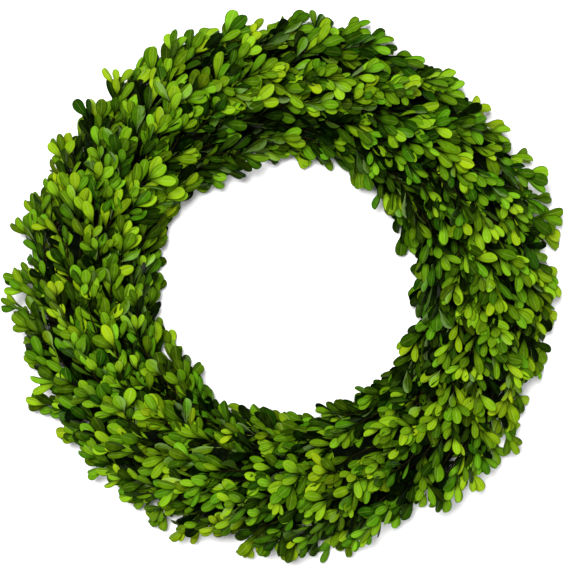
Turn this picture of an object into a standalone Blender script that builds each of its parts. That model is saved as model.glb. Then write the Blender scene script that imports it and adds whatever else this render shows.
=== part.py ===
"""A preserved boxwood wreath lying on its back, its face up along +Z.

Bunches of boxwood lie clockwise round a welded wire frame, three side by side at each station: one
towards the outside, one on the face and one towards the hole. Each starts as a bare butt on the frame and
flares into a leafy head that covers the butts of the next station. One binding wire winds round the butts
and the frame.

Angles round the ring run clockwise from +Y, as seen from above. A place in the ring's cross-section is
given by its offset outwards from RING_RADIUS and by its height. The origin is the ring's centre on the
surface that the frame's cross bars rest on.
"""

import math
import random

import bmesh
import bpy
from mathutils import Matrix, Vector
from mathutils.bvhtree import BVHTree

# Driving dimensions, in metres
RING_RADIUS = 0.180  # to the middle of the foliage's width
STATIONS = 18
PITCH = math.tau / STATIONS
SEED = 28

# The wire frame: three rings welded onto short cross bars
RING_OFFSETS = (-0.020, 0.0, 0.020)
FRAME_WIRE_RADIUS = 0.0016
FRAME_WIRE_STEPS = 30
CROSS_BARS = 6
CROSS_BAR_LENGTH = 0.050
CROSS_BAR_LAG = 0.62  # pitches after the station, clear of where the binding wire passes under the rings
WELD_DEPTH = 0.0006
HALF_FLAT = math.cos(math.pi / 6)  # a hexagon's half height over its corner radius

# The butts, where a bunch is bare and bound, sit side by side on the rings
REST_GAP = 0.00035
BUTT_HALF_WIDTH = 0.0085
BUTT_HALF_HEIGHT = 0.00675
BUTT_SPACING = 0.020
# The outline of a butt on the face, in half widths and half heights, from its lower left corner clockwise
BUTT_OUTLINE = ((-0.9, -1), (-0.9, 0.75), (0, 1), (0.9, 0.75), (0.9, -1), (0, -1))

# The heads fill a shell between two D-shaped curves, both round a point at this height above the rest face:
# half width, height above the point and depth below it
SHELL_HEIGHT = 0.022
SHELL_INSIDE = (0.035, 0.002, 0.024)
SHELL_OUTSIDE = (0.0535, 0.056, 0.024)

# A bunch spans two pitches. These are the shares of its length at which its section changes, and how deep in
# the shell its underside and its top then lie, from 0 inside to 1 outside
BUNCH_SPAN = 2 * PITCH
BOUND_SHARE = 0.2
HEAD_SECTIONS = ((0.5, 0.04, 0.54), (0.7, 0.06, 0.76), (1.0, 0.70, 1.0))

# The three lanes: where their butts lie, how far their outline is turned, the degrees of the shell that the
# top and the underside of their heads take up, how much later than the station they start, in pitches, the
# leaves in each bunch, the degrees that these lean off the head's surface and how far from that surface
# towards straight up their faces turn
LANES = {
    "outer": {
        "butt": 1,
        "turn": -90,
        "arc": (38, 116),
        "root_arc": (60, 115),
        "delay": 0.0,
        "leaves": 10,
        "lean": (24, 44),
        "tilt": 0.6,
    },
    "face": {
        "butt": 0,
        "turn": 0,
        "arc": (-36, 36),
        "root_arc": (-15, 15),
        "delay": 0.25,
        "leaves": 10,
        "lean": (20, 46),
        "tilt": 0.3,
    },
    "inner": {
        "butt": -1,
        "turn": 90,
        "arc": (-116, -38),
        "root_arc": (-115, -60),
        "delay": 0.5,
        "leaves": 8,
        "lean": (16, 30),
        "tilt": 0.6,
    },
}

# Leaves, larger than life so that they cover the wreath
LEAF_LENGTH = 0.041
LEAF_WIDTH = 0.021
LEAF_SIZE_SPREAD = 0.12
LEAF_THICKNESS = 0.0020  # at the midrib
LEAF_CROWN = 0.0022  # how far the midrib stands above the edge
LEAF_SINK = 0.003
LEAF_SHARES = (0.55, 1.0)  # the stretch of the bunch that they grow from
LEAF_FAN = (10, 0.27)  # degrees outwards at the top of the shell, and more for each degree of arc
LEAF_FAN_SPREAD = 18
LEAF_ROLL_SPREAD = 26
# Half of the blade's outline, as shares of its length and width
LEAF_SHOULDERS = ((0.36, 0.38), (0.76, 0.5))
MIDRIB_SHARE = 0.46
LEAF_TRIES = 60
LEAF_CLEARANCE = 0.0005
LOWEST_LEAF = 0.0025

# The binding wire
BINDING_RADIUS = 0.0005
BINDING_GAP = 0.0009
BINDING_LEAD = 0.11  # pitches that a turn starts before the middle of the outer butt

GOLDEN = (math.sqrt(5) - 1) / 2


def frame_levels():
    """Heights of the cross bars' and the rings' centre lines."""
    half = FRAME_WIRE_RADIUS * HALF_FLAT
    return half, 3 * half - WELD_DEPTH


def butt_height():
    """Height of the middle of the butts, which lie on the rings."""
    return frame_levels()[1] + FRAME_WIRE_RADIUS * HALF_FLAT + REST_GAP + BUTT_HALF_HEIGHT


def on_ring(angle, offset, height):
    """The point at this angle round the ring and at this place in its cross-section."""
    reach = RING_RADIUS + offset
    return Vector((reach * math.sin(angle), reach * math.cos(angle), height))


def in_shell(arc, depth):
    """(offset, height) at an angle from straight up, positive outwards, and a depth in the shell."""
    width, above, below = (
        inside + (outside - inside) * depth
        for inside, outside in zip(SHELL_INSIDE, SHELL_OUTSIDE)
    )
    rise = math.cos(arc)
    return width * math.sin(arc), SHELL_HEIGHT + (above if rise > 0 else below) * rise


def clear_scene():
    for item in list(bpy.data.objects):
        bpy.data.objects.remove(item, do_unlink=True)


def finish_material(name, colour, roughness, metallic=0.0):
    material = bpy.data.materials.new(name)
    material.use_nodes = True
    shader = material.node_tree.nodes["Principled BSDF"]
    shader.inputs["Base Color"].default_value = (*colour, 1)
    shader.inputs["Roughness"].default_value = roughness
    shader.inputs["Metallic"].default_value = metallic
    return material


def object_from_faces(name, points, faces, collection):
    mesh = bpy.data.meshes.new(name)
    mesh.from_pydata(points, [], faces)
    shaped = bmesh.new()
    shaped.from_mesh(mesh)
    bmesh.ops.triangulate(shaped, faces=shaped.faces[:])
    bmesh.ops.recalc_face_normals(shaped, faces=shaped.faces[:])
    shaped.to_mesh(mesh)
    shaped.free()
    made = bpy.data.objects.new(name, mesh)
    collection.objects.link(made)
    return made


def fuse(body, pieces):
    """Unites the pieces, a collection of objects, into the body with one Boolean, and removes them."""
    union = body.modifiers.new("Union", "BOOLEAN")
    union.operation = "UNION"
    union.solver = "EXACT"
    union.operand_type = "COLLECTION"
    union.collection = pieces
    bpy.context.view_layer.update()
    graph = bpy.context.evaluated_depsgraph_get()
    united = bpy.data.meshes.new_from_object(body.evaluated_get(graph))
    body.modifiers.clear()
    body.data = united
    for piece in list(pieces.objects):
        bpy.data.objects.remove(piece, do_unlink=True)
    bpy.data.collections.remove(pieces)


def new_collection(name):
    collection = bpy.data.collections.new(name)
    bpy.context.scene.collection.children.link(collection)
    return collection


def take(made, name, collection):
    """Names the object that an operator just added and moves it into the collection."""
    made.name = name
    for holder in list(made.users_collection):
        holder.objects.unlink(made)
    collection.objects.link(made)
    return made


def make_wire_frame(wreath, material):
    """Three rings of steel wire, welded onto cross bars of the same wire, whose flats are the rest face."""
    bar_level, ring_level = frame_levels()
    joined = new_collection("frame pieces")
    rings = []
    for offset in RING_OFFSETS:
        bpy.ops.mesh.primitive_torus_add(
            location=(0, 0, ring_level),
            major_radius=RING_RADIUS + offset,
            minor_radius=FRAME_WIRE_RADIUS,
            major_segments=FRAME_WIRE_STEPS,
            minor_segments=6,
        )
        rings.append(take(bpy.context.object, f"ring {len(rings)}", joined))
    for index in range(CROSS_BARS):
        angle = index * math.tau / CROSS_BARS + CROSS_BAR_LAG * PITCH
        outwards = Vector((math.sin(angle), math.cos(angle), 0))
        up = Vector((0, 0, 1))
        bpy.ops.mesh.primitive_cylinder_add(vertices=6, radius=FRAME_WIRE_RADIUS, depth=CROSS_BAR_LENGTH)
        bar = take(bpy.context.object, f"cross bar {index}", joined)
        turned = Matrix((up, outwards.cross(up), outwards)).transposed().to_4x4()
        bar.matrix_world = Matrix.Translation(on_ring(angle, 0, bar_level)) @ turned
    frame = take(rings[0], "wire_frame", wreath)
    fuse(frame, joined)
    frame.data.materials.clear()
    frame.data.materials.append(material)
    return frame


def butt_section(lane):
    """(offset, height) of a butt's corners, turned so that they match the head's."""
    turn = math.radians(lane["turn"])
    corners = []
    for x, y in BUTT_OUTLINE:
        across = x * math.cos(turn) - y * math.sin(turn)
        upwards = x * math.sin(turn) + y * math.cos(turn)
        corners.append((
            lane["butt"] * BUTT_SPACING + across * BUTT_HALF_WIDTH,
            butt_height() + upwards * BUTT_HALF_HEIGHT,
        ))
    return corners


def head_section(lane, underside, top):
    """(offset, height) of the corners of a head's section between two depths in the shell."""
    start, end = (math.radians(a) for a in lane["arc"])
    root_start, root_end = (math.radians(a) for a in lane["root_arc"])
    return [
        in_shell(root_start, underside),
        in_shell(start, top),
        in_shell((start + end) / 2, top),
        in_shell(end, top),
        in_shell(root_end, underside),
        in_shell((root_start + root_end) / 2, underside),
    ]


def start_angle(lane, station):
    return (station + lane["delay"]) * PITCH


def make_core(name, lane, station, wreath):
    """The twigs of one bunch as a solid: its bare butt, and the flared head that the leaves stand out of."""
    sections = [(0.0, butt_section(lane)), (BOUND_SHARE, butt_section(lane))]
    sections += [(share, head_section(lane, low, top)) for share, low, top in HEAD_SECTIONS]
    points = [
        on_ring(start_angle(lane, station) + share * BUNCH_SPAN, offset, height)
        for share, corners in sections
        for offset, height in corners
    ]
    around = len(BUTT_OUTLINE)
    faces = [list(range(around)), list(range(len(points) - around, len(points)))]
    for first in range(0, len(points) - around, around):
        for corner in range(around):
            after = (corner + 1) % around
            faces.append([first + corner, first + after, first + around + after, first + around + corner])
    return object_from_faces(name, points, faces, wreath)


def blade(length, width, grown=0.0):
    """Points and faces of a leaf with its base at the origin, its tip along +Y and its upper face along +Z.

    The midrib stands proud, the blade thins to its edge, and grown widens it all round for a clearance test.
    """
    right = [(across * width + grown, along * length, 0) for along, across in LEAF_SHOULDERS]
    left = [(-x, y, z) for x, y, z in reversed(right)]
    outline = [(0, -grown, 0), *right, (0, length + grown, 0), *left]
    rib = MIDRIB_SHARE * length
    crown = (0, rib, LEAF_CROWN + grown)
    under = (0, rib, LEAF_CROWN - LEAF_THICKNESS - grown)
    points = [Vector(p) for p in (*outline, crown, under)]
    count = len(outline)
    faces = []
    for corner in range(count):
        after = (corner + 1) % count
        faces.append((corner, after, count))
        faces.append((after, corner, count + 1))
    return points, faces


def place_leaf(core, lane, station, index, draw):
    """A frame for one leaf rooted in a head, leaning clockwise and out, and the leaf's length and width.

    Returns None where the draw finds no footing.
    """
    first, last = LEAF_SHARES
    share = first + (last - first) * (index + draw.uniform(0, 1)) / lane["leaves"]
    start, end = lane["arc"]
    across = (0.37 + index * GOLDEN + draw.uniform(-0.1, 0.1)) % 1.0
    across = 0.05 + 0.9 * across
    arc = math.radians(start + (end - start) * across)
    angle = start_angle(lane, station) + share * BUNCH_SPAN
    far_out = on_ring(angle, *in_shell(arc, 2))
    inwards = (on_ring(angle, *in_shell(arc, 0)) - far_out).normalized()
    footing, surface, _, _ = core.tree.ray_cast(far_out, inwards)
    if footing is None:
        return None
    root = footing - surface * LEAF_SINK
    nearest, facing, _, _ = core.tree.find_nearest(root)
    if (root - nearest).dot(facing) > -0.5 * LEAF_SINK:
        return None

    size = 1 + draw.uniform(-LEAF_SIZE_SPREAD, LEAF_SIZE_SPREAD)
    lean = math.radians(draw.uniform(*lane["lean"]))
    straight, per_arc = LEAF_FAN
    fan = math.radians(straight + draw.uniform(-LEAF_FAN_SPREAD, LEAF_FAN_SPREAD)) + per_arc * arc
    roll = math.radians(draw.uniform(-LEAF_ROLL_SPREAD, LEAF_ROLL_SPREAD))
    along = Vector((math.cos(angle), -math.sin(angle), 0))
    forwards = (along - surface * along.dot(surface)).normalized()
    sideways = surface.cross(forwards)
    pointing = forwards * math.cos(fan) + sideways * math.sin(fan)
    direction = pointing * math.cos(lean) + surface * math.sin(lean)
    facing = surface.lerp(Vector((0, 0, 1)), lane["tilt"])
    normal = (facing - direction * facing.dot(direction)).normalized()
    normal.rotate(Matrix.Rotation(roll, 3, direction))
    frame = Matrix((direction.cross(normal), direction, normal)).transposed().to_4x4()
    return Matrix.Translation(root) @ frame, LEAF_LENGTH * size, LEAF_WIDTH * size


class Solid:
    """A placed solid's surface, kept for clearance tests."""

    def __init__(self, points, faces, owner):
        self.owner = owner
        self.centre = sum(points, Vector()) / len(points)
        self.reach = max((p - self.centre).length for p in points)
        self.tree = BVHTree.FromPolygons(points, faces)

    def meets(self, other):
        if (self.centre - other.centre).length > self.reach + other.reach:
            return False
        return bool(self.tree.overlap(other.tree))


def solid_of(body, owner):
    points = [body.matrix_world @ v.co for v in body.data.vertices]
    return Solid(points, [tuple(face.vertices) for face in body.data.polygons], owner)


def grow_leaves(cores, wire):
    """Leaves for every bunch, each clear of all that stands already. Returns {bunch: [(points, faces)]}."""
    draw = random.Random(SEED)
    heads = {name: solid_of(core, name) for name, (core, _, _) in cores.items()}
    standing = [*heads.values(), wire]
    grown = {name: [] for name in cores}
    for index in range(max(lane["leaves"] for lane in LANES.values())):
        for name, (_, lane, station) in cores.items():
            if index >= lane["leaves"]:
                continue
            for _ in range(LEAF_TRIES):
                placed = place_leaf(heads[name], lane, station, index, draw)
                if placed is None:
                    continue
                frame, length, width = placed
                points, faces = blade(length, width)
                points = [frame @ p for p in points]
                if min(p.z for p in points) < LOWEST_LEAF:
                    continue
                room, _ = blade(length, width, LEAF_CLEARANCE)
                wanted = Solid([frame @ p for p in room], faces, name)
                if any(s.meets(wanted) for s in standing if s.owner != name):
                    continue
                standing.append(Solid(points, faces, f"{name} leaf"))
                grown[name].append((points, faces))
                break
    return grown


def binding_path():
    """Points of the binding wire: once round the frame and the butts at each station, and on to the next."""
    ring_level = frame_levels()[1]
    side = RING_OFFSETS[-1] + FRAME_WIRE_RADIUS
    under = ring_level - FRAME_WIRE_RADIUS * HALF_FLAT - REST_GAP - BINDING_RADIUS
    over = butt_height() + BUTT_HALF_HEIGHT + REST_GAP + BINDING_RADIUS
    shoulder = BUTT_SPACING + BUTT_HALF_WIDTH + BINDING_GAP
    flank = butt_height() - 0.8 * BUTT_HALF_HEIGHT
    # (offset, height, pitches after the turn's start)
    turn = [
        (side, under, -0.09),
        (shoulder, flank, -0.06),
        (shoulder, over - 0.002, 0.0),
        (shoulder - 0.003, over, 0.01),
        (0.003 - shoulder, over, 0.72),
        (-shoulder, over - 0.002, 0.73),
        (-shoulder, flank, 0.79),
        (-side, under, 0.82),
    ]
    start = 0.5 * BOUND_SHARE * BUNCH_SPAN - BINDING_LEAD * PITCH
    return [
        on_ring(start + (station + late) * PITCH, offset, height)
        for station in range(STATIONS)
        for offset, height, late in turn
    ]


def make_binding_wire(wreath, material):
    """Soft wire wound round the butts and the frame, with its two ends left lying under the frame."""
    path = binding_path()
    curve = bpy.data.curves.new("binding_wire", "CURVE")
    curve.dimensions = "3D"
    curve.bevel_depth = BINDING_RADIUS
    curve.bevel_resolution = 0
    curve.use_fill_caps = True
    spline = curve.splines.new("POLY")
    spline.points.add(len(path) - 1)
    for point, place in zip(spline.points, path):
        point.co = (*place, 1)
    curve.materials.append(material)
    wire = bpy.data.objects.new("binding_wire", curve)
    wreath.objects.link(wire)
    return wire


def wire_surface(wire):
    """The wire's surface, for the clearance tests."""
    bpy.context.view_layer.update()
    mesh = wire.evaluated_get(bpy.context.evaluated_depsgraph_get()).to_mesh()
    faces = [tuple(face.vertices) for face in mesh.polygons]
    return Solid([v.co.copy() for v in mesh.vertices], faces, wire.name)


def make_bunches(wreath, material, wire):
    """Every bunch, with its leaves fused to its core."""
    cores = {}
    for station in range(STATIONS):
        for lane_name, lane in LANES.items():
            name = f"bunch_{lane_name}_{station + 1:02d}"
            cores[name] = (make_core(name, lane, station, wreath), lane, station)
    for name, leaves in grow_leaves(cores, wire_surface(wire)).items():
        pieces = new_collection(f"leaves of {name}")
        for number, (points, faces) in enumerate(leaves):
            object_from_faces(f"{name} leaf {number}", points, faces, pieces)
        core = cores[name][0]
        fuse(core, pieces)
        core.data.materials.clear()
        core.data.materials.append(material)


def main():
    clear_scene()
    wreath = new_collection("boxwood wreath")
    steel = finish_material("dark green painted steel", (0.03, 0.06, 0.03), 0.45, 0.0)
    florist_wire = finish_material("green florist wire", (0.04, 0.09, 0.03), 0.4, 0.0)
    leaf = finish_material("preserved boxwood leaf", (0.13, 0.27, 0.01), 0.42)
    make_wire_frame(wreath, steel)
    wire = make_binding_wire(wreath, florist_wire)
    make_bunches(wreath, leaf, wire)


main()
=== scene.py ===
import math
import random
from typing import NamedTuple

import bpy
import numpy as np
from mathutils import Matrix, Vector


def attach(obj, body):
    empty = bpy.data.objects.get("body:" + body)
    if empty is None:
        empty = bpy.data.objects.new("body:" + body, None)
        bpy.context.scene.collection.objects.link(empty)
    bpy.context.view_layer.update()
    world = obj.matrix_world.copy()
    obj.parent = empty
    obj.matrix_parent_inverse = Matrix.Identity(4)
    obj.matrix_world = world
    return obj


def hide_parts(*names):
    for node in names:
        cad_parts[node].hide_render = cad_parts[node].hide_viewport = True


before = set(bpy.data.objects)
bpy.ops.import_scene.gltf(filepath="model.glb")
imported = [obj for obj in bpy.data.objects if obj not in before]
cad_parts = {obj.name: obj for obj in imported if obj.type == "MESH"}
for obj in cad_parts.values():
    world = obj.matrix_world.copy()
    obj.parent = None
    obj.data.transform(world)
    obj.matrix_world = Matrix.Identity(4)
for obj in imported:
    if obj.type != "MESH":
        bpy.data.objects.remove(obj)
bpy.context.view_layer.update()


# The wire frame. Three rings of steel wire lie side by side on six short cross bars, with a bead of weld
# where they meet, and the whole is coated in dark green paint that has worn thin here and there.

RING_RADIUS = 0.180  # to the middle of the foliage's width
STATIONS = 18
PITCH = math.tau / STATIONS
RING_OFFSETS = (-0.020, 0.0, 0.020)
FRAME_WIRE_RADIUS = 0.0016
FRAME_WIRE_SIDES = 10
RING_STEPS = 96
RING_LEVEL = 0.0040
CROSS_BARS = 6
CROSS_BAR_HALF_LENGTH = 0.025
CROSS_BAR_LAG = 0.62  # pitches
BAR_LEVEL = 0.0016
BEAD_HALF_LENGTH = 0.0026
BEAD_LEVEL = 0.5 * (BAR_LEVEL + RING_LEVEL)
BEAD_SIDES = 8
WIRE_CREASE = 50  # degrees
# Places along a bar as shares of its half length, with its width there as a share of the wire's, and the same
# for a bead, with its radius
CROSS_BAR_PROFILE = ((-1, 0.75), (-0.98, 1), (0, 1), (0.98, 1), (1, 0.75))
BEAD_PROFILE = ((-1, 0.0006), (-0.5, 0.0015), (0, 0.0019), (0.5, 0.0015), (1, 0.0006))


def on_ring(angle, offset, height):
    """The point at this angle, clockwise from +Y, and at this place in the ring's cross-section."""
    reach = RING_RADIUS + offset
    return Vector((reach * math.sin(angle), reach * math.cos(angle), height))


class Sum:
    """A socket whose value is worked with in Python expressions, each of which adds a Math node."""

    def __init__(self, finish, socket):
        self.finish = finish
        self.socket = socket

    def with_math(self, operation, *others):
        inputs = dict(enumerate((self, *others)))
        return self.finish.node("ShaderNodeMath", {"operation": operation}, inputs)

    def __add__(self, other):
        return self.with_math("ADD", other)

    def __sub__(self, other):
        return self.with_math("SUBTRACT", other)

    def __rsub__(self, other):
        return self * -1 + other

    def __mul__(self, other):
        return self.with_math("MULTIPLY", other)

    def __abs__(self):
        return self.with_math("ABSOLUTE")

    __radd__ = __add__
    __rmul__ = __mul__


class Finish:
    """A material on a Principled shader, whose constants are set on the shader's own sockets."""

    def __init__(self, name, **constants):
        self.material = bpy.data.materials.new(name)
        self.material.use_nodes = True
        self.tree = self.material.node_tree
        self.shader = self.tree.nodes["Principled BSDF"]
        for socket, value in constants.items():
            self.shader.inputs[socket.replace("_", " ")].default_value = value

    def put(self, socket, value):
        if isinstance(value, Sum):
            self.tree.links.new(value.socket, socket)
        elif socket.type == "RGBA":
            socket.default_value = (*value, 1.0)
        else:
            socket.default_value = value

    def node(self, kind, settings, inputs, output=0):
        """Adds a node: its settings first, then its sockets, by name or place, from values or links."""
        node = self.tree.nodes.new(kind)
        for setting, value in settings.items():
            if setting == "stops":
                while len(node.color_ramp.elements) < len(value):
                    node.color_ramp.elements.new(0.5)
                for element, (place, colour) in zip(node.color_ramp.elements, value):
                    element.position = place
                    element.color = (*colour, 1.0)
            else:
                setattr(node, setting, value)
        for socket, value in inputs.items():
            self.put(node.inputs[socket], value)
        return Sum(self, node.outputs[output])

    def place(self):
        return self.node("ShaderNodeTexCoord", {}, {}, "Object")

    def noise(self, scale, detail=3.0, roughness=0.55):
        sizes = {"Vector": self.place(), "Scale": scale, "Detail": detail, "Roughness": roughness}
        return self.node("ShaderNodeTexNoise", {}, sizes)

    def ramp(self, value, stops):
        return self.node("ShaderNodeValToRGB", {"stops": stops}, {"Fac": value})

    def spread(self, value, low, high, to_low=0.0, to_high=1.0):
        """The value taken from one range to another, held within it and eased at both ends."""
        settings = {"interpolation_type": "SMOOTHSTEP"}
        inputs = {"Value": value, 1: low, 2: high, 3: to_low, 4: to_high}
        return self.node("ShaderNodeMapRange", settings, inputs)

    def mix(self, share, first, second, blend="MIX"):
        settings = {"data_type": "RGBA", "blend_type": blend}
        return self.node("ShaderNodeMix", settings, {0: share, 6: first, 7: second}, 2)

    def feed(self, socket, value):
        self.put(self.shader.inputs[socket], value)

    def bump(self, height, strength, distance):
        inputs = {"Height": height, "Strength": strength, "Distance": distance}
        self.feed("Normal", self.node("ShaderNodeBump", {}, inputs))


def mesh_object(name, points, faces, materials, face_materials=None, crease=None):
    """An object whose faces are smooth, apart from edges sharper than crease, in degrees."""
    mesh = bpy.data.meshes.new(name)
    mesh.from_pydata(points, [], faces)
    for material in materials:
        mesh.materials.append(material)
    if face_materials is not None:
        mesh.polygons.foreach_set("material_index", face_materials)
    mesh.shade_smooth()
    if crease is not None:
        mesh.set_sharp_from_angle(angle=math.radians(crease))
    made = bpy.data.objects.new(name, mesh)
    bpy.context.scene.collection.objects.link(made)
    return made


def tube(path, radii, sides, closed=False):
    """Points and faces of a round tube along a path, closed on itself or with a flat cap at each end.
    The last two faces are then the start's cap and the end's."""
    points = []
    faces = []
    count = len(path)
    side = None
    for place, centre in enumerate(path):
        ahead = path[(place + 1) % count] if closed else path[min(place + 1, count - 1)]
        behind = path[place - 1] if closed else path[max(place - 1, 0)]
        along = (ahead - behind).normalized()
        if side is None:
            side = along.orthogonal()
        side = (side - along * side.dot(along)).normalized()
        across = along.cross(side)
        for step in range(sides):
            turn = step * math.tau / sides
            points.append(centre + (side * math.cos(turn) + across * math.sin(turn)) * radii[place])
    for ring in range(count if closed else count - 1):
        first = ring * sides
        after = (ring + 1) % count * sides
        for step in range(sides):
            beside = (step + 1) % sides
            faces.append((first + step, first + beside, after + beside, after + step))
    if not closed:
        faces.append(tuple(range(sides))[::-1])
        faces.append(tuple(range((count - 1) * sides, count * sides)))
    return points, faces


class Build:
    """Points and faces gathered from several solids, with each face's material."""

    def __init__(self):
        self.points = []
        self.faces = []
        self.materials = []

    def add(self, points, faces, material=0):
        first = len(self.points)
        self.points.extend(points)
        self.faces.extend(tuple(first + corner for corner in face) for face in faces)
        self.materials.extend([material] * len(faces))


def painted_steel():
    finish = Finish("dark green paint on steel wire", Coat_Weight=0.15, Coat_Roughness=0.3)
    drips = finish.noise(180, 4)
    worn = finish.spread(finish.noise(900, 5, 0.7), 0.62, 0.70)
    paint = finish.ramp(drips, [(0.3, (0.008, 0.030, 0.008)), (0.7, (0.020, 0.056, 0.016))])
    finish.feed("Base Color", finish.mix(worn, paint, (0.12, 0.10, 0.08)))
    finish.feed("Metallic", worn * 0.8)
    finish.feed("Roughness", finish.spread(drips, 0.3, 0.7, 0.32, 0.55))
    finish.bump(drips, 0.25, 0.0004)
    return finish.material


wire_work = Build()
for offset in RING_OFFSETS:
    ring = [on_ring(step * math.tau / RING_STEPS, offset, RING_LEVEL) for step in range(RING_STEPS)]
    wire_work.add(*tube(ring, [FRAME_WIRE_RADIUS] * RING_STEPS, FRAME_WIRE_SIDES, closed=True))
for bar in range(CROSS_BARS):
    angle = bar * math.tau / CROSS_BARS + CROSS_BAR_LAG * PITCH
    line = [on_ring(angle, share * CROSS_BAR_HALF_LENGTH, BAR_LEVEL) for share, _ in CROSS_BAR_PROFILE]
    widths = [FRAME_WIRE_RADIUS * width for _, width in CROSS_BAR_PROFILE]
    wire_work.add(*tube(line, widths, FRAME_WIRE_SIDES))
    for offset in RING_OFFSETS:
        bead = [on_ring(angle, offset + share * BEAD_HALF_LENGTH, BEAD_LEVEL) for share, _ in BEAD_PROFILE]
        wire_work.add(*tube(bead, [radius for _, radius in BEAD_PROFILE], BEAD_SIDES))
steel_frame = mesh_object(
    "frame_rings", wire_work.points, wire_work.faces, [painted_steel()], crease=WIRE_CREASE
)
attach(steel_frame, "root")
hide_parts("wire_frame")


# The binding wire. Soft green florist's wire goes once round the butts and the frame at each station and
# runs on under the rings to the next, drawn tight, with a short tail left at each end.

BINDING_RADIUS = 0.0005
BINDING_SIDES = 8
BUTT_HALF_WIDTH = 0.0085
BUTT_HALF_HEIGHT = 0.00675
BUTT_SPACING = 0.020
BUTT_HEIGHT = 0.01204
BINDING_START = 0.09  # pitches from the station to the start of its turn
BINDING_STEPS = 4  # points between two corners of the turn
SIDE_CLEARANCE = 0.0009  # from the butts to the middle of the wire
TOP_CLEARANCE = 0.00085
FLANK_DROP = 0.8  # share of a butt's half height
BINDING_SHOULDER = BUTT_SPACING + BUTT_HALF_WIDTH + SIDE_CLEARANCE
BINDING_SIDE = RING_OFFSETS[-1] + FRAME_WIRE_RADIUS
BINDING_UNDER = 0.00132
BINDING_OVER = BUTT_HEIGHT + BUTT_HALF_HEIGHT + TOP_CLEARANCE
BINDING_FLANK = BUTT_HEIGHT - FLANK_DROP * BUTT_HALF_HEIGHT
CORNER_IN = 0.003
CORNER_DOWN = 0.002
BINDING_TURN = (  # (offset, height, pitches after the turn's start)
    (BINDING_SIDE, BINDING_UNDER, -0.09),
    (BINDING_SHOULDER, BINDING_FLANK, -0.06),
    (BINDING_SHOULDER, BINDING_OVER - CORNER_DOWN, 0.0),
    (BINDING_SHOULDER - CORNER_IN, BINDING_OVER, 0.01),
    (CORNER_IN - BINDING_SHOULDER, BINDING_OVER, 0.72),
    (-BINDING_SHOULDER, BINDING_OVER - CORNER_DOWN, 0.73),
    (-BINDING_SHOULDER, BINDING_FLANK, 0.79),
    (-BINDING_SIDE, BINDING_UNDER, 0.82),
)
ROUNDING = 0.35  # how far a smooth path swings out at its corners


def eased(corners, steps):
    """A smooth path through the corners."""
    path = []
    for place in range(len(corners) - 1):
        a = corners[max(place - 1, 0)]
        b = corners[place]
        c = corners[place + 1]
        d = corners[min(place + 2, len(corners) - 1)]
        for step in range(steps):
            t = step / steps
            bend = (c - a) * (ROUNDING * t * (1 - t) ** 2) - (d - b) * (ROUNDING * t * t * (1 - t))
            path.append(b + (c - b) * (t * t * (3 - 2 * t)) + bend)
    return path + [corners[-1]]


def florist_enamel():
    finish = Finish("green enamel on florist's wire", Roughness=0.38, Coat_Weight=0.2)
    smudge = finish.noise(260, 3)
    finish.feed("Base Color", finish.ramp(smudge, [(0.3, (0.010, 0.045, 0.012)), (0.7, (0.035, 0.10, 0.03))]))
    finish.bump(smudge, 0.15, 0.0002)
    return finish.material


corners = [
    on_ring((BINDING_START + station + late) * PITCH, offset, height)
    for station in range(STATIONS)
    for offset, height, late in BINDING_TURN
]
binding_line = eased(corners, BINDING_STEPS)
binding_solid = tube(binding_line, [BINDING_RADIUS] * len(binding_line), BINDING_SIDES)
binding = mesh_object("binding_turns", *binding_solid, [florist_enamel()])
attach(binding, "root")
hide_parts("binding_wire")


# The bunches. Each is a handful of preserved boxwood sprigs, bound to the frame by its bare twigs, with its
# leafy head over the butts of the next. Three lanes lie side by side: outside, on the face and inside. The
# heads fill a shell between two D-shaped curves round the frame.

SHELL_HEIGHT = 0.022
SHELL_INSIDE = (0.035, 0.002, 0.024)  # half width, reach above SHELL_HEIGHT, reach below it
SHELL_OUTSIDE = (0.0545, 0.055, 0.024)
BUNCH_SPAN = 2 * PITCH
BOUND_SHARE = 0.2
HEAD_START = 0.5
HEAD_SECTIONS = ((HEAD_START, 0.54), (0.7, 0.76), (1.0, 1.0))  # (share of the bunch, depth of its top)
UP = Vector((0, 0, 1))


class Lane(NamedTuple):
    """Where a lane of bunches lies, how many sprigs each has and how they lean. Angles are in degrees."""

    butt: int  # which of the three butts side by side on the frame
    arc: tuple  # the part of the shell it fills, from straight up, positive outwards
    delay: float  # pitches from the station to its start
    sprigs: int
    lean: tuple  # range of a sprig's rise out of the shell
    tilt: float  # how far a sprig faces straight up, 0 for straight out of the shell
    tone: float  # 0 for the darkest green and 1 for the brightest


# The inner lane's lower tone is painted shade, for the leaves that face into the hole and get less light.
LANES = {
    "outer": Lane(butt=1, arc=(38, 116), delay=0.0, sprigs=17, lean=(9, 28), tilt=0.6, tone=0.52),
    "face": Lane(butt=0, arc=(-37, 37), delay=0.25, sprigs=16, lean=(8, 25), tilt=0.2, tone=0.58),
    "inner": Lane(butt=-1, arc=(-116, -38), delay=0.5, sprigs=14, lean=(2, 17), tilt=0.6, tone=0.36),
}


def in_shell(arc, depth):
    """(offset, height) at an angle from straight up, positive outwards, and a depth, 1 at the outside."""
    width, above, below = (
        inside + (outside - inside) * depth
        for inside, outside in zip(SHELL_INSIDE, SHELL_OUTSIDE)
    )
    rise = math.cos(arc)
    return width * math.sin(arc), SHELL_HEIGHT + (above if rise > 0 else below) * rise


def shell_thickness(arc):
    """The way across the shell at this angle."""
    (near, low), (far, high) = in_shell(arc, 0), in_shell(arc, 1)
    return math.hypot(far - near, high - low)


def head_top(share):
    """Depth in the shell of a head's top at this share of the bunch."""
    for (before, low), (after, high) in zip(HEAD_SECTIONS, HEAD_SECTIONS[1:]):
        if share <= after:
            return low + (high - low) * (share - before) / (after - before)
    return HEAD_SECTIONS[-1][1]


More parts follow.
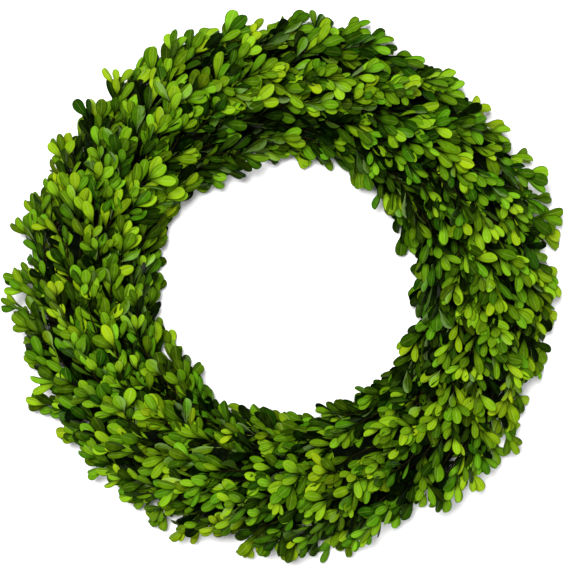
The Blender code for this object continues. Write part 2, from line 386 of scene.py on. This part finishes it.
# A leaf is spoon-shaped: a long narrow base, widest past the middle, and a round tip. Rows run across it
# from base to tip, as (share of its length, half width as a share of the widest).
LEAF_ROWS = (
    (0.0, 0.08), (0.17, 0.21), (0.35, 0.53), (0.51, 0.84), (0.63, 0.97),
    (0.74, 1.0), (0.85, 0.89), (0.93, 0.68), (0.98, 0.39),
)
LEAF_COLUMNS = (-1.0, -0.5, 0.0, 0.5, 1.0)
LEAF_THICKNESS = 0.00035
LEAF_LENGTH = 0.0240
LEAF_WIDTH = 0.0102
MARGIN_CURL = 0.12
LOWEST_LEAF = 0.001  # a leaf that would dip below this is left off


def leaf_pattern():
    """The leaf's points as (across, along, half width, on the underside), and its upper and lower faces."""
    points = [(across, along, half, 0) for along, half in LEAF_ROWS for across in LEAF_COLUMNS]
    rows = len(LEAF_ROWS)
    columns = len(LEAF_COLUMNS)
    middle = columns // 2
    tip = len(points)
    points.append((0, 1, 0, 0))
    keel = [middle]
    for along, half in LEAF_ROWS[1:]:
        keel.append(len(points))
        points.append((0, along, half, 1))
    upper = []
    lower = [(middle, middle - 1, 0), (columns - 1, middle + 1, middle)]
    for row in range(rows):
        for column in range(columns - 1):
            a = row * columns + column
            if row < rows - 1:
                upper.append((a, a + 1, a + columns + 1, a + columns))
            else:
                upper.append((a, a + 1, tip))
        left = row * columns
        right = left + columns - 1
        if row < rows - 1:
            lower.append((left, left + columns, keel[row + 1], keel[row]))
            lower.append((keel[row], keel[row + 1], right + columns, right))
        else:
            lower.append((left, tip, keel[row]))
            lower.append((keel[row], tip, right))
    return np.array(points), upper, lower


PATTERN, UPPER_FACES, LOWER_FACES = leaf_pattern()
UPPER_SIDE, UNDERSIDE, BARK, HEART, CUT_WOOD = range(5)  # places in a bunch's list of materials


def leaf_faces(count):
    """The faces of this many leaves, and the material of each."""
    faces = []
    sides = []
    firsts = np.arange(count)[:, None, None] * len(PATTERN)
    for side, pattern in ((UPPER_SIDE, UPPER_FACES), (UNDERSIDE, LOWER_FACES)):
        for corners in (3, 4):
            alike = np.array([face for face in pattern if len(face) == corners])
            placed = (alike + firsts).reshape(-1, corners).tolist()
            faces.extend(map(tuple, placed))
            sides.extend([side] * len(placed))
    return faces, sides


class Leaves:
    """The leaves of one bunch: a place, directions, a form and a tint for each."""

    def __init__(self):
        self.rows = []

    def add(self, root, direction, normal, length, width, fold, arch, tone, hue, painted_sheen):
        across = direction.cross(normal)
        self.rows.append((*root, *across, *direction, *normal, length, width, fold, arch, tone, hue, painted_sheen))

    def solids(self):
        """Every leaf's points, their places on the leaf, and its tone, hue and painted sheen at each of them.
        """
        table = np.array(self.rows)
        root, right, ahead, normal = (table[:, None, first:first + 3] for first in (0, 3, 6, 9))
        length, width, fold, arch, tone, hue, painted_sheen = (table[:, None, column] for column in range(12, 19))
        across, along, half, beneath = PATTERN.T
        x = across * half * width / 2
        y = along * length
        # The halves rise from the midrib and curl back at the margin, and the whole leaf arches over
        rise = fold * np.abs(x) - (0.55 + 0.5 * fold) * np.abs(across) ** 3 * half * width * MARGIN_CURL
        z = rise - arch * along ** 2 * length - beneath * LEAF_THICKNESS
        points = root + x[..., None] * right + y[..., None] * ahead + z[..., None] * normal
        flat = np.zeros(x.shape)
        growth = np.stack([across + flat, along + flat, beneath + flat], -1)
        tint = np.stack([tone + flat, hue + flat, painted_sheen + flat], -1)
        clear = points[..., 2].min(axis=1) > LOWEST_LEAF
        return points[clear], growth[clear], tint[clear]


def ring_directions(angle):
    """The clockwise tangent and the outward radius at an angle round the ring."""
    return Vector((math.cos(angle), -math.sin(angle), 0)), Vector((math.sin(angle), math.cos(angle), 0))


def turned_to(direction, wanted):
    """wanted, made square to direction."""
    return (wanted - direction * wanted.dot(direction)).normalized()


def held(value):
    """The value, kept from 0 to 1."""
    return min(max(value, 0), 1)


# A sprig has a thin stem, pairs of leaves that stand across each other along it, swept forward, and a
# rosette of three at its tip. Angles are in degrees, and a pair of values is a range.
LEAF_SPACING = 0.0094
STEM_RADIUS = 0.00055
STEM_GROWTH = (0.85, 1.15)
STEM_TAPER = 0.5
STEM_SIDES = 5
STEM_RISE = (-0.1, 0.3)
STEM_SWAY = 0.35
LOWEST_SPRIG = 0.003  # a sprig whose tip would dip below this is left off
PAIR_TURN = 68
PAIR_SCATTER = 28
PAIR_OPENING = (15, 40)
PAIR_FLATNESS = 0.65  # rise of the pairs, as a share of their spread to the sides
PAIR_TUMBLE = 1.15
TIP_SCATTER = 0.6  # radians
TIP_OPENING = (2, 18)
TIP_TUMBLE = 0.55
TIP_LIFT = 0.0012
LEAF_STAND_OFF = 0.0004
FACING_THE_STEM = 0.9  # how far a leaf faces as its stem does there, and as its whole sprig does
FACING_THE_SPRIG = 0.6
LEAF_SIZE = (0.72, 1.16)
TIP_LEAF_LENGTH = (0.75, 1.0)
LEAF_BREADTH = (0.66, 1.04)
LEAF_FOLD = (0.2, 1.0)
LEAF_ARCH = (-0.04, 0.16)
# painted shade down the stem: leaves are painted darker towards the sprig's base and lighter towards its tip
STEM_PAINTED_SHADE = 0.4
EVEN_SHARE = 0.62  # the share of the stem where the leaves have the sprig's own tone
TONE_SCATTER = 0.23
HUE_SCATTER = 0.20
# painted sheen: a pale highlight painted over one half of a leaf, strong on a few leaves and faint on more
STRONG_PAINTED_SHEEN = (0.3, 1)
FAINT_PAINTED_SHEEN_SHARE = 0.06  # share of the leaves with at least a faint painted sheen, where the sprig's sheen is none
FAINT_PAINTED_SHEEN_GAIN = 2  # what that share grows by with the sheen
STEEPEST_SUNK_LEAF = 0.3  # a sunk sprig's leaves that rise more than this are left off


class Sprig(NamedTuple):
    """Where a sprig grows, and its looks."""

    root: Vector
    direction: Vector
    facing: Vector
    length: float
    scale: float
    tone: float
    hue: float
    sheen: float  # the share of its leaves with a strong painted sheen
    upper: bool  # in the outer layer, and not sunk among the others


def grow_sprig(sprig, leaves, twigs, draw):
    """Adds one sprig's leaves and stem."""
    pairs = max(2, round(sprig.length / LEAF_SPACING))
    bend = sprig.facing * draw.uniform(*STEM_RISE)
    bend += sprig.direction.cross(sprig.facing) * draw.uniform(-STEM_SWAY, STEM_SWAY)
    stem = []
    for step in range(pairs + 1):
        share = step / pairs
        reach = sprig.length * share
        stem.append(sprig.root + sprig.direction * reach + bend * (reach * share))
    if stem[-1].z < LOWEST_SPRIG:
        return
    thick = STEM_RADIUS * draw.uniform(*STEM_GROWTH)
    radii = [thick * (1 - STEM_TAPER * step / pairs) for step in range(pairs + 1)]
    twigs.add(*tube(stem, radii, STEM_SIDES), BARK)
    faint = FAINT_PAINTED_SHEEN_SHARE + FAINT_PAINTED_SHEEN_GAIN * sprig.sheen
    for step in range(pairs + 1):
        share = step / pairs
        ahead = (stem[min(step + 1, pairs)] - stem[max(step - 1, 0)]).normalized()
        up = turned_to(ahead, sprig.facing)
        right = ahead.cross(up)
        size = sprig.scale * draw.uniform(*LEAF_SIZE)
        at_tip = step == pairs
        crossed = PAIR_TURN if (pairs - step) % 2 else 0
        turn = math.radians(crossed + draw.uniform(-PAIR_SCATTER, PAIR_SCATTER))
        spots = [(turn, draw.uniform(*PAIR_OPENING)), (turn + math.pi, draw.uniform(*PAIR_OPENING))]
        if at_tip:
            spots.append((math.pi / 2 + draw.uniform(-TIP_SCATTER, TIP_SCATTER), draw.uniform(*TIP_OPENING)))
        for place, (turn, opening) in enumerate(spots):
            opening = math.radians(opening)
            sideways = (right * math.cos(turn) + up * (PAIR_FLATNESS * math.sin(turn))).normalized()
            out = (ahead * math.cos(opening) + sideways * math.sin(opening)).normalized()
            tumble = Vector((draw.uniform(-1, 1), draw.uniform(-1, 1), draw.uniform(-1, 1)))
            wanted = up * FACING_THE_STEM + sprig.facing * FACING_THE_SPRIG
            wanted += tumble * (TIP_TUMBLE if at_tip else PAIR_TUMBLE)
            lift = TIP_LIFT if place == 2 else 0
            base = stem[step] + sideways * LEAF_STAND_OFF + up * lift
            length = LEAF_LENGTH * size * (draw.uniform(*TIP_LEAF_LENGTH) if at_tip else 1.0)
            width = LEAF_WIDTH * size * draw.uniform(*LEAF_BREADTH)
            fold = draw.uniform(*LEAF_FOLD)
            arch = draw.uniform(*LEAF_ARCH)
            # painted shade: lower on the stem a leaf's tone is darker, and towards the tip lighter
            tone = held(sprig.tone + STEM_PAINTED_SHADE * (share - EVEN_SHARE) + draw.gauss(0, TONE_SCATTER))
            hue = held(sprig.hue + draw.gauss(0, HUE_SCATTER))
            # the leaf's painted sheen, a pale highlight painted on it
            rank = draw.random()
            painted_sheen = draw.uniform(*STRONG_PAINTED_SHEEN) if rank < sprig.sheen else max(0, 1 - rank / faint)
            if sprig.upper or sideways.dot(up) < STEEPEST_SUNK_LEAF:
                leaves.add(base, out, turned_to(out, wanted), length, width, fold, arch, tone, hue, painted_sheen)


# A bunch's sprigs are spread over its head by the golden section. Four in five lie in the outer layer, and
# the fifth is sunk among them and painted nearly black, as painted shade. The twigs run back from them to the
# bound butt.
GOLDEN = (math.sqrt(5) - 1) / 2
SUNK_EVERY = 5
SPRIGS_START = 0.46
SPRIG_PLACE = (0.1, 0.9)
HEAD_MARGIN = 0.03
FIRST_ACROSS = 0.37
ACROSS_SCATTER = 0.07
FAN = 10  # degrees outwards from the tangent
FAN_SPREAD = 0.27  # more of it towards the edges, in and out
FAN_SCATTER = 21
EDGE_FLATTENING = 0.35
SUNK_FLATTENING = 0.4
UPPER_DEPTH = (0.004, 0.011)
SUNK_DEPTH = (0.012, 0.017)
# painted shade: a sunk sprig's leaves are painted this much darker in tone, nearly black
SUNK_PAINTED_SHADE = 0.7
SPRIG_TONE_SCATTER = 0.07
SPRIG_HUE_SCATTER = 0.13
SPRIG_LENGTH = (0.017, 0.038)
OUTER_TRIM = 0.237  # sprigs that reach past these radii are cut back
INNER_TRIM = 0.129
SUNK_TRIM = 0.010  # sunk sprigs are cut back this much sooner
CUT_BACK = 0.010  # the length that is left
BUNCH_TONE_SCATTER = 0.03
BUNCH_HUE = (0.36, 0.11)  # mean and scatter, 0 for deep green and 1 for warm
BUNCH_LIFT = 0.003
BUNCH_LEAN = 4
BUNCH_SCALE = (0.92, 1.10)
# shares of leaves with a strong painted sheen, more at the upper left, towards the key light
SHEEN = 0.006
UPPER_LEFT_SHEEN = 0.04
UPPER_LEFT_STATIONS = range(14, 18)
TWIG_RADIUS = 0.0012
TWIG_TAPER = 0.00009
TWIG_STEPS = 2
HALFWAY_ARC = 0.9  # halfway along a twig, its angle as a share of its sprig's
HALFWAY_DEPTH = 0.35  # and its depth as a share of the head top's
TWIG_OVERLAP = 0.003  # how far a twig runs on beside its sprig's stem
BUTT_PACKING = 0.82


def in_butt(lane, draw):
    """(offset, height) of a twig in the bound butt."""
    turn = draw.uniform(0, math.tau)
    reach = math.sqrt(draw.uniform(0, 1)) * BUTT_PACKING
    return (
        lane.butt * BUTT_SPACING + math.cos(turn) * reach * BUTT_HALF_WIDTH,
        BUTT_HEIGHT + math.sin(turn) * reach * BUTT_HALF_HEIGHT,
    )


def grow_bunch(lane, station, draw):
    """The leaves and the twigs of one bunch."""
    leaves = Leaves()
    twigs = Build()
    start = (station + lane.delay) * PITCH
    first, last = lane.arc
    bunch_tone = draw.gauss(lane.tone, BUNCH_TONE_SCATTER)
    bunch_hue = draw.gauss(*BUNCH_HUE)
    bunch_lift = draw.uniform(-BUNCH_LIFT, BUNCH_LIFT)
    bunch_lean = draw.uniform(-BUNCH_LEAN, BUNCH_LEAN)
    scale = draw.uniform(*BUNCH_SCALE)
    sheen = UPPER_LEFT_SHEEN if station in UPPER_LEFT_STATIONS else SHEEN
    for index in range(lane.sprigs):
        upper = (index + 1) % SUNK_EVERY != 0
        share = SPRIGS_START + (1 - SPRIGS_START) * (index + draw.uniform(*SPRIG_PLACE)) / lane.sprigs
        golden = (FIRST_ACROSS + index * GOLDEN + draw.uniform(-ACROSS_SCATTER, ACROSS_SCATTER)) % 1.0
        arc = math.radians(first + (last - first) * (HEAD_MARGIN + (1 - 2 * HEAD_MARGIN) * golden))
        angle = start + share * BUNCH_SPAN
        tangent, outwards = ring_directions(angle)
        away = outwards * math.sin(arc) + UP * math.cos(arc)
        sideways = outwards * math.cos(arc) - UP * math.sin(arc)
        fan = math.radians(FAN) + FAN_SPREAD * arc + math.radians(draw.uniform(-FAN_SCATTER, FAN_SCATTER))
        lean = math.radians(draw.uniform(*lane.lean) + bunch_lean)
        lean *= 1 - EDGE_FLATTENING * abs(math.sin(arc))
        if not upper:
            lean *= SUNK_FLATTENING
        pointing = tangent * math.cos(fan) + sideways * math.sin(fan)
        direction = (pointing * math.cos(lean) + away * math.sin(lean)).normalized()
        facing = turned_to(direction, away * (1 - lane.tilt) + UP * lane.tilt)
        sunk = draw.uniform(*(UPPER_DEPTH if upper else SUNK_DEPTH)) - bunch_lift
        root = on_ring(angle, *in_shell(arc, head_top(share) - sunk / shell_thickness(arc)))
        # a sunk sprig's tone is lowered as painted shade among the upper sprigs
        tone = bunch_tone + draw.gauss(0, SPRIG_TONE_SCATTER) - (0 if upper else SUNK_PAINTED_SHADE)
        hue = bunch_hue + draw.gauss(0, SPRIG_HUE_SCATTER)
        length = draw.uniform(*SPRIG_LENGTH)
        reach = (root + direction * length).to_2d().length
        if not INNER_TRIM < reach < OUTER_TRIM - (0 if upper else SUNK_TRIM):
            length = CUT_BACK
        sprig = Sprig(root, direction, facing, length, scale, tone, hue, sheen, upper)
        grow_sprig(sprig, leaves, twigs, draw)
        butt = in_butt(lane, draw)
        halfway = start + 0.5 * (BOUND_SHARE + share) * BUNCH_SPAN
        corners = [
            on_ring(start, *butt),
            on_ring(start + BOUND_SHARE * BUNCH_SPAN, *butt),
            on_ring(halfway, *in_shell(arc * HALFWAY_ARC, head_top(share) * HALFWAY_DEPTH)),
            root,
            root + direction * TWIG_OVERLAP,
        ]
        line = eased(corners, TWIG_STEPS)
        radii = [TWIG_RADIUS - TWIG_TAPER * step for step in range(len(line))]
        twigs.add(*tube(line, radii, STEM_SIDES), BARK)
        twigs.materials[-2] = CUT_WOOD
    return leaves, twigs


# A head's heart is a close mass that stands for the small inner leaves and twigs, painted nearly black as
# painted shade, and too dense to see into. It swells from the butt and lies under the sprigs. Depths and
# thicknesses are in the shell's own measure.
HEART_DEPTH = 0.015  # metres under the head's top
HEART_SHARES = (0.24, 0.36, 0.5, 0.62, 0.76, 0.88, 0.985)
HEART_COLUMNS = 7
HEART_WIDTH = (0.35, 0.95)  # where it leaves the butt and in the head, as a share of the lane's
HEART_NECK = (0.04, 0.54)  # depths that its under side and top rise to along the neck
HEART_THICKNESS = 0.35
HEART_LOWEST = 0.05
HEART_ROUNDING = 0.05


def head_heart(lane, station):
    """Points and faces of one head's heart, a loft of seven sections."""
    first, last = (math.radians(a) for a in lane.arc)
    middle = (first + last) / 2
    edges = (0, HEART_COLUMNS - 1)
    points = []
    for share in HEART_SHARES:
        grown = (share - BOUND_SHARE) / (HEAD_START - BOUND_SHARE)
        if share < HEAD_START:
            low, top = (depth * grown for depth in HEART_NECK)
        else:
            top = head_top(share) - HEART_DEPTH / shell_thickness(middle)
            low = max(HEART_LOWEST, top - HEART_THICKNESS)
        width = HEART_WIDTH[0] + (HEART_WIDTH[1] - HEART_WIDTH[0]) * min(grown, 1)
        angle = (station + lane.delay + 2 * share) * PITCH
        arcs = [
            middle + (last - first) / 2 * width * (2 * column / edges[1] - 1)
            for column in range(HEART_COLUMNS)
        ]
        around = [(arc, top - (HEART_ROUNDING if column in edges else 0)) for column, arc in enumerate(arcs)]
        around += [(arc, low) for arc in reversed(arcs[1:-1])]
        points.extend(on_ring(angle, *in_shell(arc, depth)) for arc, depth in around)
    count = len(points) // len(HEART_SHARES)
    faces = [tuple(range(count))[::-1], tuple(range(len(points) - count, len(points)))]
    for ring in range(len(HEART_SHARES) - 1):
        for corner in range(count):
            a = ring * count + corner
            b = ring * count + (corner + 1) % count
            faces.append((a, b, b + count, a + count))
    return points, faces


DEEP_GREEN = (
    (0.0, (0.0007, 0.0028, 0.0001)),
    (0.13, (0.0034, 0.0155, 0.0005)),
    (0.3, (0.0086, 0.039, 0.0009)),
    (0.65, (0.046, 0.148, 0.0025)),
    (1.0, (0.115, 0.275, 0.007)),
)
WARM_GREEN = (
    (0.0, (0.0014, 0.0028, 0.0001)),
    (0.13, (0.0088, 0.0165, 0.0003)),
    (0.3, (0.0245, 0.0445, 0.0006)),
    (0.65, (0.112, 0.176, 0.002)),
    (1.0, (0.240, 0.325, 0.004)),
)
RIB_GREEN = (0.30, 0.42, 0.06)
# the colour of a painted highlight
PAINTED_SHEEN_GREEN = (0.22, 0.36, 0.10)
UNDERSIDE_GREEN = (0.066, 0.12, 0.013)
# painted shade: a leaf's margins are painted darker, as contact shade against the leaves around it
PAINTED_MARGIN_SHADE = (0.06, 0.09, 0.06)
# painted shade: a leaf's base is painted nearly black, where the leaves above shade it
PAINTED_BASE_SHADE = (0.03, 0.045, 0.03)
VEIN_SLANT = 0.45
VEIN_TURNS = 62  # radians of the veins' wave along a leaf


def leaf_finish(name, beneath):
    """The waxy upper side or the pale dull underside of a leaf, by its place, tone, hue and painted sheen."""
    finish = Finish(name, Specular_IOR_Level=0.03, Specular_Tint=(0.40, 0.85, 0.12, 1))
    growth = finish.node("ShaderNodeAttribute", {"attribute_name": "growth"}, {}, "Vector")
    across, along, _ = (finish.node("ShaderNodeSeparateXYZ", {}, {"Vector": growth}, axis) for axis in "XYZ")
    tint = finish.node("ShaderNodeAttribute", {"attribute_name": "tint"}, {}, "Vector")
    tone, hue, painted_sheen = (finish.node("ShaderNodeSeparateXYZ", {}, {"Vector": tint}, axis) for axis in "XYZ")
    blotch = finish.noise(140, 4)
    shade = tone + 0.4 * (blotch - 0.5)
    rib = 1 - finish.spread(abs(across), 0.02, 0.15)
    wave = (along - VEIN_SLANT * abs(across)) * VEIN_TURNS
    veins = finish.node("ShaderNodeMath", {"operation": "SINE"}, {0: wave})
    # painted shade along the leaf's margins
    margin = finish.spread(abs(across), 0.76, 1.0)
    # painted shade towards the base of the leaf
    painted_base_shade_mask = 1 - finish.spread(along, 0.05, 0.6)
    # painted sheen: a pale highlight patch painted over one half of the leaf
    painted_sheen_patch = finish.spread(across + finish.noise(75, 2) * 3, 1.3, 2.3)
    colour = finish.mix(hue, finish.ramp(shade, DEEP_GREEN), finish.ramp(shade, WARM_GREEN))
    colour = finish.mix(rib * tone * 0.38, colour, RIB_GREEN)
    colour = finish.mix(margin * 0.9, colour, PAINTED_MARGIN_SHADE, "MULTIPLY")
    colour = finish.mix(painted_base_shade_mask * 0.96, colour, PAINTED_BASE_SHADE, "MULTIPLY")
    # the pale painted highlight, as strong as the leaf's painted sheen
    colour = finish.mix(painted_sheen * painted_sheen_patch * 0.42, colour, PAINTED_SHEEN_GREEN)
    if beneath:
        colour = finish.mix(0.3, colour, UNDERSIDE_GREEN)
    finish.feed("Base Color", colour)
    rough = (0.6, 0.75) if beneath else (0.32, 0.46)
    finish.feed("Roughness", finish.spread(blotch, 0.3, 0.7, *rough))
    height = veins * 0.06 - rib * 0.4 + finish.noise(1400, 2) * 0.35
    finish.bump(height * (-1 if beneath else 1), 0.3, 0.0004)
    return finish.material


def bark_finish():
    finish = Finish("boxwood bark", Roughness=0.8, Specular_IOR_Level=0.02)
    grain = finish.noise(420, 5, 0.65)
    browns = [(0.3, (0.003, 0.003, 0.0008)), (0.55, (0.008, 0.007, 0.0015)), (0.8, (0.020, 0.017, 0.005))]
    finish.feed("Base Color", finish.ramp(grain, browns))
    finish.bump(grain, 0.5, 0.0005)
    return finish.material


def cut_wood_finish():
    finish = Finish("cut end of a boxwood twig", Roughness=0.7, Specular_IOR_Level=0.2)
    rings = finish.noise(900, 3, 0.6)
    finish.feed("Base Color", finish.ramp(rings, [(0.3, (0.20, 0.14, 0.05)), (0.7, (0.42, 0.33, 0.15))]))
    finish.bump(rings, 0.3, 0.0002)
    return finish.material


# The heart's colour is painted shade: nearly black, with faint cells.
def heart_finish():
    finish = Finish("painted shade in the heart of a bunch", Roughness=0.9, Specular_IOR_Level=0.02)
    cells = finish.node("ShaderNodeTexVoronoi", {}, {"Vector": finish.place(), "Scale": 110.0})
    painted_shade_colours = [(0.0, (0.003, 0.006, 0.001)), (0.5, (0.001, 0.002, 0.0005)), (1.0, (0.0005, 0.001, 0.0003))]
    finish.feed("Base Color", finish.ramp(cells, painted_shade_colours))
    finish.bump(cells, 1.0, 0.004)
    return finish.material


bunch_finishes = [
    leaf_finish("preserved boxwood leaf, upper side", False),
    leaf_finish("preserved boxwood leaf, underside", True),
    bark_finish(),
    heart_finish(),
    cut_wood_finish(),
]
SEEDS_PER_LANE = 1000
LEAF_CREASE = 28  # degrees
for lane_number, (lane_name, lane) in enumerate(LANES.items()):
    for station in range(STATIONS):
        draw = random.Random(SEEDS_PER_LANE * lane_number + station)
        leaves, twigs = grow_bunch(lane, station, draw)
        twigs.add(*head_heart(lane, station), HEART)
        blades, growth, tint = leaves.solids()
        faces, face_materials = leaf_faces(len(blades))
        leaf_points = len(blades) * len(PATTERN)
        faces += [tuple(leaf_points + corner for corner in face) for face in twigs.faces]
        face_materials += twigs.materials
        points = [*map(tuple, blades.reshape(-1, 3).tolist()), *map(tuple, twigs.points)]
        name = f"sprigs_{lane_name}_{station + 1:02d}"
        bunch = mesh_object(name, points, faces, bunch_finishes, face_materials, crease=LEAF_CREASE)
        bare = np.zeros((len(twigs.points), 3))
        # tint holds each leaf's tone, hue and painted sheen
        for layer, values in (("growth", growth), ("tint", tint)):
            attribute = bunch.data.attributes.new(layer, "FLOAT_VECTOR", "POINT")
            attribute.data.foreach_set("vector", np.vstack([values.reshape(-1, 3), bare]).ravel())
        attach(bunch, "root")
        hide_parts(f"bunch_{lane_name}_{station + 1:02d}")


# The floor is a round sheet of white paper, with the faint tooth that such paper has. The wreath lies on it
# on its back.

FLOOR_RADIUS = 1.3
bpy.ops.mesh.primitive_circle_add(vertices=96, radius=FLOOR_RADIUS, fill_type="NGON")
floor = bpy.context.object
floor.name = "floor"
paper = Finish("white paper", Roughness=0.9, Specular_IOR_Level=0.2)
tooth = paper.noise(30, 3)
paper.feed("Base Color", paper.ramp(tooth, [(0.0, (0.88, 0.88, 0.88)), (1.0, (0.93, 0.93, 0.93))]))
floor.data.materials.append(paper.material)


# Soft studio light: a large key nearly overhead, from the upper left, a wide fill from the lower right, and
# a surround that is white at the horizon and dim above, so that the gaps among the leaves stay dark.

HORIZON_GLOW = 1.5
OVERHEAD_GLOW = 0.08
GLOW_HEIGHT = 0.45  # sine of the height where the glow has faded


def soft_light(name, place, size, power):
    lamp = bpy.data.lights.new(name, "AREA")
    lamp.shape = "SQUARE"
    lamp.size = size
    lamp.energy = power
    made = bpy.data.objects.new(name, lamp)
    made.location = place
    made.rotation_euler = (-Vector(place)).to_track_quat("-Z", "Y").to_euler()
    bpy.context.scene.collection.objects.link(made)


soft_light("key", (-0.25, 0.35, 1.9), size=0.65, power=71)
soft_light("fill", (0.9, -0.8, 1.7), size=1.2, power=15)
surround = bpy.data.worlds.new("surround")
surround.use_nodes = True
nodes = surround.node_tree.nodes
links = surround.node_tree.links
upwards = nodes.new("ShaderNodeSeparateXYZ")
links.new(nodes.new("ShaderNodeTexCoord").outputs["Generated"], upwards.inputs["Vector"])
fading = nodes.new("ShaderNodeMapRange")
fading.interpolation_type = "SMOOTHSTEP"
for place, value in enumerate((0.0, GLOW_HEIGHT, HORIZON_GLOW, OVERHEAD_GLOW), start=1):
    fading.inputs[place].default_value = value
links.new(upwards.outputs["Z"], fading.inputs["Value"])
links.new(fading.outputs["Result"], nodes["Background"].inputs["Strength"])
nodes["Background"].inputs["Color"].default_value = (1, 1, 1, 1)
bpy.context.scene.world = surround
bpy.context.scene.view_settings.view_transform = "Standard"


# The camera looks straight down on the face, with the top of the wreath, as hung, at the top of the picture.
# A long lens keeps the near leaves from looking much larger than the far ones.

VIEW_WIDTH = 0.5200  # what the picture's width takes in at the middle of the wreath's depth
VIEW_MIDDLE = 0.05  # the height of that middle
lens = bpy.data.cameras.new("camera")
lens.lens = 100
lens.sensor_width = 36
camera = bpy.data.objects.new("camera", lens)
camera.location = (0, 0, VIEW_MIDDLE + VIEW_WIDTH * lens.lens / lens.sensor_width)
bpy.context.scene.collection.objects.link(camera)
bpy.context.scene.camera = camera
